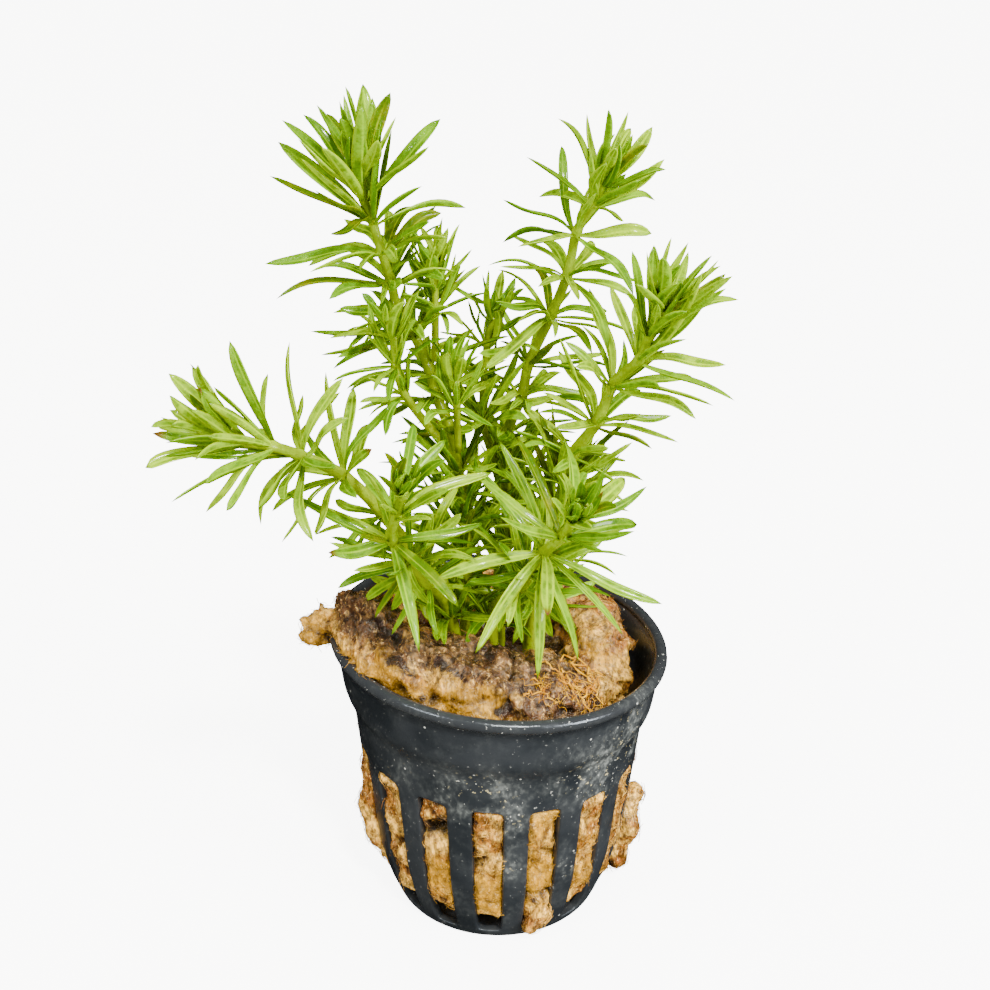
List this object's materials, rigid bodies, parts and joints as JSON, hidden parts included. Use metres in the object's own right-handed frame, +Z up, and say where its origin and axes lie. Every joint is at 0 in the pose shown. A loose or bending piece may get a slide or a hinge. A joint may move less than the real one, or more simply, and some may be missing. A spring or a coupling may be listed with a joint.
{
  "type": "potted aquarium stem plant",
  "caption": "Bushy aquarium stem plant with whorls of narrow leaves, packed with mineral wool in a slotted net pot.",
  "frame": {"origin": "centre of the pot's flat base", "axes": "+Z up, from the pot's base to the shoot tips; -Y is the side seen in the picture; +X to its right"},
  "size_m": [0.075, 0.0558, 0.122],
  "materials": {
    "pot_plastic": "satin charcoal plastic with pale mineral scuffs",
    "mineral_wool": "wet fibrous brown wool with dark stains",
    "foliage": "glossy bright green leaf with a pale midrib",
    "root": "fine orange roots"
  },
  "bodies": {
    "root": {"net_pot": "pot_plastic", "wool_front": "mineral_wool", "wool_back": "mineral_wool", "roots": "root", "shoot_tall_left": "foliage", "shoot_back_right": "foliage", "shoot_right": "foliage", "shoot_low_left": "foliage", "shoot_front_left": "foliage", "shoot_front_right": "foliage", "side_shoot_upper": "foliage", "side_shoot_front": "foliage", "side_shoot_thin": "foliage", "side_shoot_middle": "foliage"}
  },
  "joints": []
}
